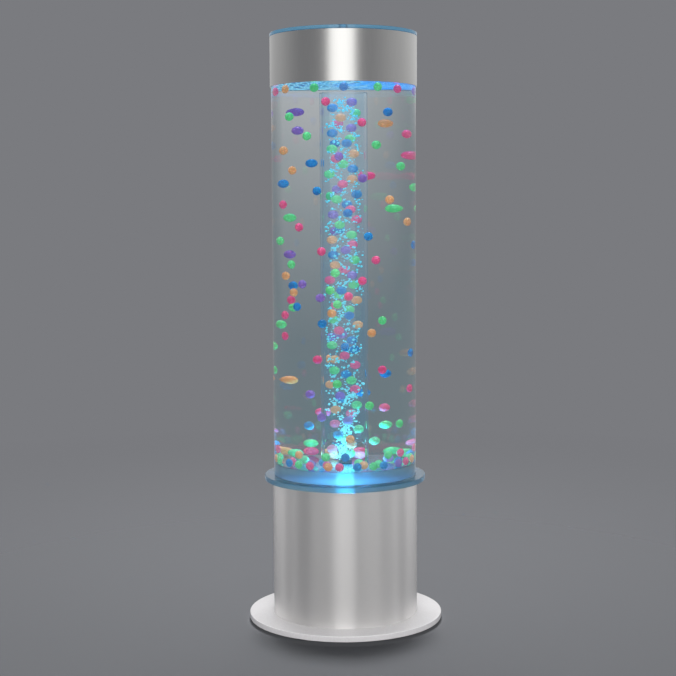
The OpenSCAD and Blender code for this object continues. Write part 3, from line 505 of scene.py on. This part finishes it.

# %% [markdown]
# ## Glow by distance
# Light that is fed in at the middle fades outwards. So several pieces get a painted glow by their distance
# from
# the axis: the height is taken out of the place, and the length of what is left is that distance.

# %% Glow by distance from the axis
def off_axis(tree, place):
    """The distance of a place from the lamp's axis, in metres."""
    flat = add(tree, "ShaderNodeVectorMath", [place, (1, 1, 0)], operation="MULTIPLY").outputs[0]
    return add(tree, "ShaderNodeVectorMath", [flat], operation="LENGTH").outputs["Value"]


def radial_glow(stops, high, strength):
    """Painted light that changes with the distance from the axis, through stops from 0 to high millimetres.
    """
    def build(tree, place):
        share = add(tree, "ShaderNodeMapRange", [off_axis(tree, place), 0, high * MM]).outputs[0]
        return add(tree, "ShaderNodeValToRGB", [share], stops).outputs[0], strength
    return build


print("glow is ready")

# %% [markdown]
# ## Foot plate
# On the real lamp this is a steel disc, stove-enamelled white, so its surface is glossy and its rim softly
# rounded. Four screws come up through it. It is spun, its edges rounded, and the screws' cone holes cut from
# below, which keeps the underside true to the model.

# %% Foot plate
plate = spun([(0, plate_low), (plate_r, plate_low), (plate_r, plate_top), (0, plate_top)])
round_edges(plate, 1.0, 4)
holes = bmesh.new()
SCREW_CIRCLE = 82
for corner in range(4):
    turn = Matrix.Rotation(math.radians(45 + 90 * corner), 4, "Z")
    spot = turn @ Matrix.Translation((SCREW_CIRCLE * MM, 0, 0))
    for low, high, wide, narrow in ((-1, 2.9, 5.9, 2.6), (2.0, 12.0, 2.6, 2.6)):
        middle = spot @ Matrix.Translation((0, 0, (plate_low + (low + high) / 2) * MM))
        bmesh.ops.create_cone(holes, cap_ends=True, segments=32, radius1=wide * MM, radius2=narrow * MM,
                              depth=(high - low) * MM, matrix=middle)
plate = cut_away(plate, holes)
plate_piece = piece("foot_plate_enamelled", plate, "base", [white_enamel], "white_enamel", "foot_plate")

# %% [markdown]
# ## Sleeve
# The base is a sheet-metal sleeve with a satin finish. Its back has the opening of the rear panel and nine
# upright vent slots. Spinning gives an even wall, and the cut keeps its curve whole.

# %% Sleeve
sleeve = spun([(sleeve_in, sleeve_low), (sleeve_r, sleeve_low),
               (sleeve_r, sleeve_top), (sleeve_in, sleeve_top)], 256)
round_edges(sleeve, 0.3, 2)
tools = bmesh.new()
panel_low, panel_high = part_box("rear_panel")
panel_mid = (panel_low.z + panel_high.z) / 2 / MM
rounded_prism(tools, 46, 30, 4, Matrix.Translation((0, sleeve_r * MM, panel_mid * MM)), 40)
VENT_PITCH, VENT_HEIGHT, VENT_DROP = 8, 26, 34
for vent in range(9):
    turn = Matrix.Rotation((vent - 4) * VENT_PITCH / sleeve_r, 4, "Z")
    height = sleeve_top - VENT_DROP - VENT_HEIGHT / 2
    rounded_prism(tools, 3, VENT_HEIGHT, 1.45, turn @ Matrix.Translation((0, sleeve_r * MM, height * MM)), 10)
sleeve = cut_away(sleeve, tools)
sleeve_piece = piece("sleeve", sleeve, "base", [satin_aluminium], "satin_aluminium", "base_housing")

# %% [markdown]
# ## Lamps for single pieces
# A photographer flags lamps off with black cards so that each lights only what it should. Light linking does
# the same: a lamp gets a collection of the objects that it lights, or of those that may throw its shadow.

# %% Light linking
def only_for(lamps, role, *things):
    """Ties lamps to some things, as what they light (receiver) or what stands in their light (blocker)."""
    group = bpy.data.collections.new(lamps[0].name + "_" + role)
    for thing in things:
        group.objects.link(thing)
    for lamp in lamps:
        setattr(lamp.light_linking, role + "_collection", group)
    return group


only_for(low_panels, "receiver", sleeve_piece, plate_piece)
only_for([plate_fill], "receiver", plate_piece)
only_for([shade, under_plate], "receiver", floor)
only_for([shade], "blocker", sleeve_piece, plate_piece)

# %% [markdown]
# ## Finishes and painted glow of the clear floor
# One turned block of acrylic closes the tube: a flange below it and a solid plug inside it. Lit from
# underneath, such a block glows where its surface isn't polished, and that glow is painted in. It is in the
# bored light well round the nozzle's stem and on its sanded underside over the lamp board, brightest at the
# middle, with a faint painted blue on the rim. Its rim shows turning marks and its side a glued seam, and
# both are a little hazy.

# %% Finishes and painted glow of the clear floor
well_r, well_top = 8.5, floor_top - 4
under = flange_low + 0.12


def well_glow(tree, place):
    """Painted glow of the lit well: brightest at its foot, where the lamps stand, and bluer towards its top.
    """
    height = add(tree, "ShaderNodeSeparateXYZ", [place]).outputs["Z"]
    share = add(tree, "ShaderNodeMapRange", [height, flange_low * MM, well_top * MM]).outputs[0]
    glow = add(tree, "ShaderNodeValToRGB", [share], [
        (0.0, "#a4fcff"), (0.25, "#84f4ff"), (0.5, "#62d2fc"), (1.0, "#3c9cec")])
    return glow.outputs[0], 1.0


# Painted glow of the underside: brightest over the lamps, dark blue towards the rim.
under_glow = radial_glow([
    (0.0, "#8cf8ff"), (0.15, "#64dcff"), (0.27, "#36a6f8"), (0.38, "#2a7ccc"), (0.48, "#3858a0"),
    (0.6, "#24486a"), (1.0, "#1c3c4c")], flange_r, 0.8)
# A faint, even painted blue glow on the rim.
rim_glow = radial_glow([(0.0, "#2f6f9c"), (1.0, "#2f6f9c")], flange_r, 0.03)
# A bored hole is left frosted by the drill, so it catches the light of the lamps. That cyan light is a
# painted glow.
core_lit = clear("bored_acrylic_painted_glow", "#7adcf0", 1.49, 0.3, well_glow, share=0.3, pale="#8ae4f4")
# Sanded acrylic is milky. Its glow, bright over the lamps and dark blue away from them, is painted light, and
# so is the dark blue of its milky part.
under_lit = clear("sanded_acrylic_painted_glow", "#143c50", 1.49, 0.12, under_glow, share=0.35, pale="#184258")
# Turned acrylic keeps fine rings, which blur a little of what is seen through it. A faint blue glow is
# painted on it.
rim_lit = clear("turned_acrylic_rim_painted_glow", "#bcdcdf", 1.49, 0.04, rim_glow, pale="#c4e2e4", haze=0.35)
# Solvent glue leaves a faint blue-green veil.
seam = clear("glued_acrylic_seam", "#bfe2e8", 1.49, pale="#c6e6ea", haze=0.35)
print("light well from", flange_low, "to", well_top, "mm")

# %% [markdown]
# ## Clear floor
# The block is spun from one outline, and each face gets its finish by where it lies. The plug's side reaches
# 0.4 mm into the tube's wall, as glue fills that gap, and the underside stays a hair above the support
# plate, because two faces in one place would flicker.

# %% Clear floor
plug_r, nozzle_hole_r = tube_in + 0.4, 4.1
block = spun([(well_r, under), (flange_r, under), (flange_r, tube_low), (plug_r, tube_low),
              (plug_r, floor_top), (nozzle_hole_r, floor_top), (nozzle_hole_r, well_top), (well_r, well_top)])
round_edges(block, 0.8, 3)
for face in block.faces:
    middle = face.calc_center_median()
    away = math.hypot(middle.x, middle.y) / MM
    if away < well_r + 0.1 and middle.z < (well_top + 0.1) * MM:
        face.material_index = 1
    elif middle.z < (under + 0.1) * MM:
        face.material_index = 2
    elif away > flange_r - 1:
        face.material_index = 3
    elif away > tube_in - 1 and middle.z > (tube_low + 0.5) * MM:
        face.material_index = 4
block_piece = piece("clear_floor_block", block, "base", [clear_acrylic, core_lit, under_lit, rim_lit, seam],
                    "clear_acrylic", "clear_floor")

# %% [markdown]
# ## The light in the well
# The lamps in the well shine outwards through the block. Where their light crosses the hazy seam and rim, it
# spreads into a halo that is brightest in line with the well, from whatever side one looks. A small azure
# lamp on the axis does this. It lights the block alone, and the nozzle's stem, which hides it, casts no
# shadow.

# %% Light in the well
data = bpy.data.lights.new("well_light", "POINT")
data.shadow_soft_size, data.energy, data.color = 0.0, 0.12, colour("#3fa4ff")[:3]
well_light = bpy.data.objects.new("well_light", data)
well_light.matrix_world = Matrix.Translation((0, 0, (flange_low + 12) * MM))
bpy.context.scene.collection.objects.link(well_light)
only_for([well_light], "receiver", block_piece)
only_for([well_light], "blocker", floor)
print("well light at", round(flange_low + 12, 1), "mm")

# %% [markdown]
# ## Water tube
# The big tube is extruded acrylic with a 5 mm wall. It sinks a fraction into the floor block, as its glued
# joint does, so that no film of air shows between them.

# %% Water tube
joint = tube_low - 0.3
tube = spun([(tube_in, joint), (tube_r, joint), (tube_r, tube_top), (tube_in, tube_top)], 256)
round_edges(tube, 0.4, 2)
piece("tube", tube, "base", [clear_acrylic], "clear_acrylic", "outer_tube")

# %% [markdown]
# ## Lift tube
# The inner tube guides the bubbles up and has four arched windows at its foot, where water flows in. Under
# water an acrylic wall hardly shows, because it bends light only 1.49 / 1.33 = 1.12 times as strongly as the
# water round it. That ratio is its index here, since the shader knows nothing of the water.

# %% Lift tube
# Acrylic under water is nearly invisible, but for a breath of blue, which is a faint painted glow.
wet_acrylic = clear("acrylic_under_water", "#eefaff", 1.12, 0.0,
                    radial_glow([(0.0, "#3fbcff"), (1.0, "#3fbcff")], lift_r, 0.018))
inner = spun([(lift_in, lift_low), (lift_r, lift_low), (lift_r, lift_top), (lift_in, lift_top)], 128)
round_edges(inner, 0.4, 2)
arches = bmesh.new()
for window in range(4):
    turn = Matrix.Rotation(math.radians(45 + 90 * window), 4, "Z")
    rounded_prism(arches, 24, 64, 11.9, turn @ Matrix.Translation((0, lift_r * MM, lift_low * MM)), 30)
inner = cut_away(inner, arches)
piece("lift_tube_clear", inner, "base", [wet_acrylic], "clear_acrylic", "lift_tube")

# %% [markdown]
# ## The lit surface
# Seen from below at a low angle, the water's surface is a mirror that gathers the blue light of the floor.
# That reflection is painted in as a blue glow. Where the bubbles break it is covered by foam, whose cell
# walls are pale, and they are drawn into the same painted glow. A Voronoi pattern's distance to the nearest
# edge draws such walls, here with cells of about 8 mm, and slow noise makes the foam's own edge uneven.

# %% Water finishes and the painted glow of the surface
def surface_glow(tree, place):
    """Painted blue light under the surface: plain on the right, broken up by foam on the left, dim at the
    wall.
    """
    out = add(tree, "ShaderNodeMapRange", [off_axis(tree, place), 0, tube_in * MM]).outputs[0]
    plain = add(tree, "ShaderNodeValToRGB", [out], [
        (0.0, "#1cacff"), (0.7, "#12a0ff"), (0.93, "#0c8cf0"), (1.0, "#084c88")])
    cells = add(tree, "ShaderNodeTexVoronoi", {"Vector": place, "Scale": 130.0}, feature="DISTANCE_TO_EDGE")
    rim = add(tree, "ShaderNodeMapRange", [cells.outputs["Distance"], 0, 0.35]).outputs[0]
    foam = add(tree, "ShaderNodeValToRGB", [rim], [
        (0.0, "#a8ecfa"), (0.2, "#4cbce0"), (0.5, "#2a84b0"), (1.0, "#185a80")])
    side = add(tree, "ShaderNodeSeparateXYZ", [place]).outputs["X"]
    drift = add(tree, "ShaderNodeTexNoise", {"Vector": place, "Scale": 22.0, "Detail": 2.0}).outputs["Fac"]
    sway = add(tree, "ShaderNodeMapRange", [drift, 0.3, 0.7, -0.04, 0.04]).outputs[0]
    edge = add(tree, "ShaderNodeMath", [side, sway]).outputs[0]
    share = add(tree, "ShaderNodeMapRange", [edge, -0.02, 0.03, 1.0, 0.0]).outputs[0]
    both = add(tree, "ShaderNodeMix", {0: share, 6: plain.outputs[0], 7: foam.outputs[0]}, data_type="RGBA")
    return both.outputs[2], 0.8


# Still water is clear, and so deep a column is faintly blue-green.
water_tint = clear("clear_water", "#f7feff", 1.33)
# The broken surface hides what is behind it and shines blue: its blue colour and shine are painted light.
surface = clear("water_surface_painted_glow", "#0a5cb0", 1.33, 0.02, surface_glow, share=0.15, pale="#0f6cc0")
print("foam cells of", round(1000 / 130, 1), "mm")

# %% [markdown]
# ## Water
# The water is one clear solid. Its side reaches half a millimetre into the tube's wall, because water wets
# the wall and leaves no air there. Its top is a fine mesh with ripples that spread from the middle, where
# the bubbles break, and die out at the wall.

# %% Water
def ripple(x, y):
    """Height of the surface in millimetres at a place in millimetres."""
    away = math.hypot(x, y)
    rings = 1.3 * math.sin(away / 3.4) * math.exp(-away / 55)
    cross = 0.5 * math.sin(x / 5.1 + 1.3) * math.sin(y / 6.3) + 0.35 * math.sin((x + y) / 2.9)
    return (rings + cross) * min(1.0, (water_r - away) / 12)


wet_r = water_r + 0.6
pool = spun([(0, water_low - 0.5), (wet_r, water_low - 0.5), (wet_r, water_top)]
            + [(r, water_top) for r in range(94, 0, -2)] + [(0, water_top)], 160)
for vert in pool.verts:
    if vert.co.z > (water_top - 0.1) * MM and math.hypot(vert.co.x, vert.co.y) < (water_r - 0.4) * MM:
        vert.co.z += ripple(vert.co.x / MM, vert.co.y / MM) * MM
for face in pool.faces:
    face.material_index = int(face.calc_center_median().z > (water_top - 4) * MM and abs(face.normal.z) > 0.3)
piece("water_body", pool, "base", [water_tint, surface], "water", "water")

# %% [markdown]
# ## Places of the balls
# The model knows where each ball is, but keeps all balls of a colour in one mesh. Balls that don't touch are
# separate shells, so walking from vertex to vertex finds them one by one, and the middle of each shell's box
# is the middle of its ball.

# %% Middles of loose shells
def shell_middles(node):
    """The middle of each separate shell of a CAD node, in metres."""
    copy = bmesh.new()
    copy.from_mesh(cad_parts[node].data)
    bmesh.ops.remove_doubles(copy, verts=copy.verts, dist=1e-6)
    left, found = set(copy.verts), []
    while left:
        queue = [left.pop()]
        shell = list(queue)
        while queue:
            for edge in queue.pop().link_edges:
                for vert in edge.verts:
                    if vert in left:
                        left.discard(vert)
                        queue.append(vert)
                        shell.append(vert)
        axes = list(zip(*(v.co for v in shell)))
        found.append(Vector([(min(axis) + max(axis)) / 2 for axis in axes]))
    copy.free()
    return sorted(found, key=lambda p: tuple(round(v, 5) for v in p))


print("green balls:", len(shell_middles("balls_green")))

# %% [markdown]
# ## Ball plastic
# The balls are beads of translucent plastic in five colours. Some light passes through them and some spreads
# inside, which softens their shading, and a smooth skin gives them a small highlight. Their index is again
# taken against the water. They look paler where the light of the bubbles and of the floor falls on them, so
# that light is painted in: a pale cyan is mixed into their colour along the axis and round the foot, and each
# ball glows faintly in its own colour. Their colour drifts slowly, over 9 mm, so no two are quite alike.

# %% Ball plastic
BALLS = {
    "green": ("#76e49e", "#58cc82"),
    "pink": ("#ec669e", "#d64e86"),
    "blue": ("#1a96da", "#0e74b8"),
    "orange": ("#eab684", "#d8a06c"),
    "purple": ("#9c7cd2", "#8262b4"),
}


def bead_plastic_painted_light(tint, light, dark):
    """Translucent plastic between two colours, with painted light: paler along the axis and near the lit
    foot, and a faint glow.
    """
    made, tree = new_material("bead_plastic_" + tint)
    place = add(tree, "ShaderNodeTexCoord").outputs["Object"]
    speck = add(tree, "ShaderNodeTexNoise", {"Vector": place, "Scale": 1 / (9 * MM)}).outputs["Fac"]
    own = add(tree, "ShaderNodeValToRGB", [speck], [(0.3, dark), (0.7, light)])
    # Painted light: a pale cyan mixed in near the axis and round the foot, where bubbles and floor light the
    # balls.
    foot = add(tree, "ShaderNodeVectorMath", [place, (0, 0, floor_top * MM)], operation="DISTANCE")
    by_stream = add(tree, "ShaderNodeMapRange", [off_axis(tree, place), 18 * MM, 26 * MM, 0.1, 0.0])
    by_floor = add(tree, "ShaderNodeMapRange", [foot.outputs["Value"], 30 * MM, 120 * MM, 0.36, 0.0])
    share = add(tree, "ShaderNodeMath", [by_stream.outputs[0], by_floor.outputs[0]], operation="MAXIMUM")
    lit = add(tree, "ShaderNodeMix", {0: share.outputs[0], 6: own.outputs[0], 7: colour("#c4f6ff")},
              data_type="RGBA").outputs[2]
    shine = add(tree, "ShaderNodeMapRange", [speck, 0.3, 0.7, 0.2, 0.3]).outputs[0]
    # The emission is a faint painted glow in the ball's lit colour.
    shader = add(tree, "ShaderNodeBsdfPrincipled", {
        "Base Color": lit, "Roughness": shine, "IOR": 1.12, "Transmission Weight": 0.35,
        "Subsurface Weight": 0.3, "Subsurface Scale": 0.003, "Coat Weight": 0.8, "Coat Roughness": 0.1,
        "Emission Color": lit, "Emission Strength": 0.25})
    add(tree, "ShaderNodeOutputMaterial", {"Surface": shader.outputs[0]})
    return made


print("ball colours:", sorted(BALLS))

# %% [markdown]
# ## Balls
# Each ball is a light icosphere of 80 faces, because there are over two hundred of them and smooth shading
# hides their corners.

# %% Balls
BALL_R = 6
middles = []
for tint, (light, dark) in BALLS.items():
    skin = bead_plastic_painted_light(tint, light, dark)
    beads = bmesh.new()
    for middle in shell_middles("balls_" + tint):
        bmesh.ops.create_icosphere(beads, subdivisions=2, radius=BALL_R * MM,
                                   matrix=Matrix.Translation(middle))
        middles.append(middle)
    piece("beads_" + tint, beads, "base", [skin], "ball_" + tint, "balls_" + tint)
print("balls:", len(middles))

# %% [markdown]
# ## Skin of the bubbles
# A bubble under water is a mirror for the light below it. At one to four millimetres it shows as a bright
# cyan speck. That mirrored light is painted in: it gets a smooth skin, a cyan colour and a glow of its own,
# whitest near the nozzle.

# %% Bubble skin
air_skin, tree = new_material("air_bubble")
place = add(tree, "ShaderNodeTexCoord").outputs["Object"]
height = add(tree, "ShaderNodeSeparateXYZ", [place]).outputs["Z"]
risen = add(tree, "ShaderNodeMapRange", [height, floor_top * MM, lift_top * MM]).outputs[0]
# Painted light: the bubble's colour and glow, whitest near the nozzle.
light = add(tree, "ShaderNodeValToRGB", [risen], [
    (0.0, "#b0fafc"), (0.25, "#76dcec"), (1.0, "#5ecce2")]).outputs[0]
gleam = add(tree, "ShaderNodeBsdfPrincipled", {
    "Base Color": light, "Roughness": 0.1, "IOR": 1.33, "Emission Color": light, "Emission Strength": 0.45})
add(tree, "ShaderNodeOutputMaterial", {"Surface": gleam.outputs[0]})
print(air_skin.name, "nodes:", len(tree.nodes))

# %% [markdown]
# ## Bubbles
# The air leaves the nozzle as a dense stream, which spreads until it fills the lift tube and thins out just
# below the surface. The pump beats, so the bubbles come in puffs: each puff has a heart, and its bubbles
# scatter round that. A seeded random generator draws the same stream every time, and bubbles that would
# touch a ball or the tube are left out.

# %% Bubbles
PUFFS, BALL_ROOM, TUBE_ROOM = 330, 6.2, 20.6
dice = random.Random(7)
foam = bmesh.new()
count = 0
column = lift_top - floor_top
for puff in range(PUFFS):
    risen = (puff / PUFFS) ** 1.1
    rise = 6 + risen * (column - 14)
    spread = min(19.5, 5 + rise * 0.14) * (1 - 0.5 * max(0.0, risen - 0.88) / 0.12)
    turn, off = dice.uniform(0, math.tau), spread * math.sqrt(dice.random())
    heart = (off * math.cos(turn), off * math.sin(turn), rise)
    for one in range(dice.randint(3, 7) if 0.2 < risen < 0.9 else dice.randint(5, 9)):
        size = dice.choice((0.6, 0.8, 0.9, 1.1, 1.3, 1.6, 1.9))
        spot = [heart[i] + dice.gauss(0, (2.8, 2.8, 3.2)[i]) for i in range(3)]
        if math.hypot(spot[0], spot[1]) > TUBE_ROOM or not 5 < spot[2] < column - 2:
            continue
        middle = Vector((spot[0] * MM, spot[1] * MM, (floor_top + spot[2]) * MM))
        if any((middle - ball).length < (BALL_ROOM + size) * MM for ball in middles):
            continue
        lean = Matrix.Rotation(dice.uniform(-0.6, 0.6), 4, "Y")
        squash = Matrix.Diagonal([size * dice.uniform(0.8, 1.1) for _ in range(3)] + [1])
        bmesh.ops.create_icosphere(foam, subdivisions=1, radius=MM,
                                   matrix=Matrix.Translation(middle) @ lean @ squash)
        count += 1
print("bubbles in the stream:", count)
piece("bubbles", foam, "base", [air_skin], "water")

# %% [markdown]
# ## Cap
# The cap is a spun and polished aluminium ring that hides the water's rim, with a clear disc let in on top.
# The disc carries the light of the tube's wall to its own edge, where it comes out blue, and that blue is
# painted in as a glow. Being flat, it would also mirror the key lamp into any view from above as one white
# sheet, so that lamp leaves it out.

# %% Cap
edge_glow = radial_glow([(0.0, "#04141f"), (0.86, "#0a3f66"), (1.0, "#2f7fa0")], disc_r, 0.15)
# A polished edge gives out the light that the disc carries, so it looks blue: a painted glow, strongest at
# the rim.
edge_lit = clear("edge_lit_acrylic", "#b4e4fa", 1.49, 0.06, edge_glow, pale="#c4eafc")
ring = spun([(ring_in, ring_low), (ring_r, ring_low), (ring_r, ring_top), (ring_in, ring_top)], 256)
round_edges(ring, 0.3, 2)
piece("cap_ring_polished", ring, "cap", [polished_aluminium], "polished_aluminium", "cap_ring")
AIR_HOLE_R, rest = 4, disc_low + 0.02
lid = spun([(AIR_HOLE_R, rest), (disc_r, rest), (disc_r, disc_top), (AIR_HOLE_R, disc_top)])
round_edges(lid, 0.6, 3)
lid_piece = piece("cap_disc_lit", lid, "cap", [edge_lit], "edge_lit_acrylic", "cap_disc")
left_out = only_for([key_lamp], "receiver", lid_piece)
left_out.collection_objects[0].light_linking.link_state = "EXCLUDE"

# %% [markdown]
# ## Lights under the floor
# White lamps with a cyan cast shine up through the clear floor. Small glowing shapes inside glass make a
# noisy picture, so their packages glow for the eye and one round lamp above them does the lighting.

# %% Lamp board
# The phosphor over a lamp chip glows evenly and hides the chip.
led_glow = finish("led_phosphor", "#e8ffff", "#c8f8ff", 0.0, (0.3, 0.4), 1.0, IOR=1.5,
                  Emission_Color=colour("#8af0ff"), Emission_Strength=6.0)
data = bpy.data.lights.new("floor_light", "AREA")
data.shape, data.size, data.energy = "DISK", 0.04, 0.6
data.color = colour("#5fdcff")[:3]
floor_light = bpy.data.objects.new("floor_light", data)
upwards = Matrix.Rotation(math.pi, 4, "X")
floor_light.matrix_world = Matrix.Translation((0, 0, (floor_top - 3) * MM)) @ upwards
floor_light.visible_camera = floor_light.visible_glossy = floor_light.visible_transmission = False
bpy.context.scene.collection.objects.link(floor_light)
print("floor light at", [round(v, 4) for v in floor_light.matrix_world.translation])

# %% [markdown]
# ## The model's own solids
# Posts, boards, pump, valve and screws already have the right shape in the model. They only need a finish,
# which goes into their material slots.

# %% Finishes of the CAD nodes
COATS = {
    "rubber_feet": black_rubber, "centring_ring": mill_aluminium, "support_posts": turned_steel,
    "support_plate": mill_aluminium, "frame_screws": screw_steel, "air_nozzle": turned_steel,
    "nozzle_seal": black_rubber, "nozzle_washer": screw_steel, "nozzle_nut": brass,
    "pump_housing": pump_casting, "pump_head": dark_plastic, "pump_mounts": black_rubber,
    "hose_lower": silicone_hose, "check_valve": pale_plastic, "hose_upper": silicone_hose,
    "led_board": white_board, "led_lights": led_glow, "led_screws": screw_steel,
    "control_board": green_board, "board_parts": part_plastic, "board_pillars": brass,
    "board_screws": screw_steel, "rear_panel": dark_plastic, "power_inlet": dark_plastic,
    "inlet_nut": screw_steel, "switch_frame": dark_plastic, "switch_rocker": switch_red,
    "led_wire": wire_sheath, "pump_wire": wire_sheath, "inlet_wire": wire_sheath,
}
for node, coat in COATS.items():
    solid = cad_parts[node]
    if not solid.data.materials:
        solid.data.materials.append(coat)
    for holder in solid.material_slots:
        holder.material = coat
print("coated:", len(COATS))
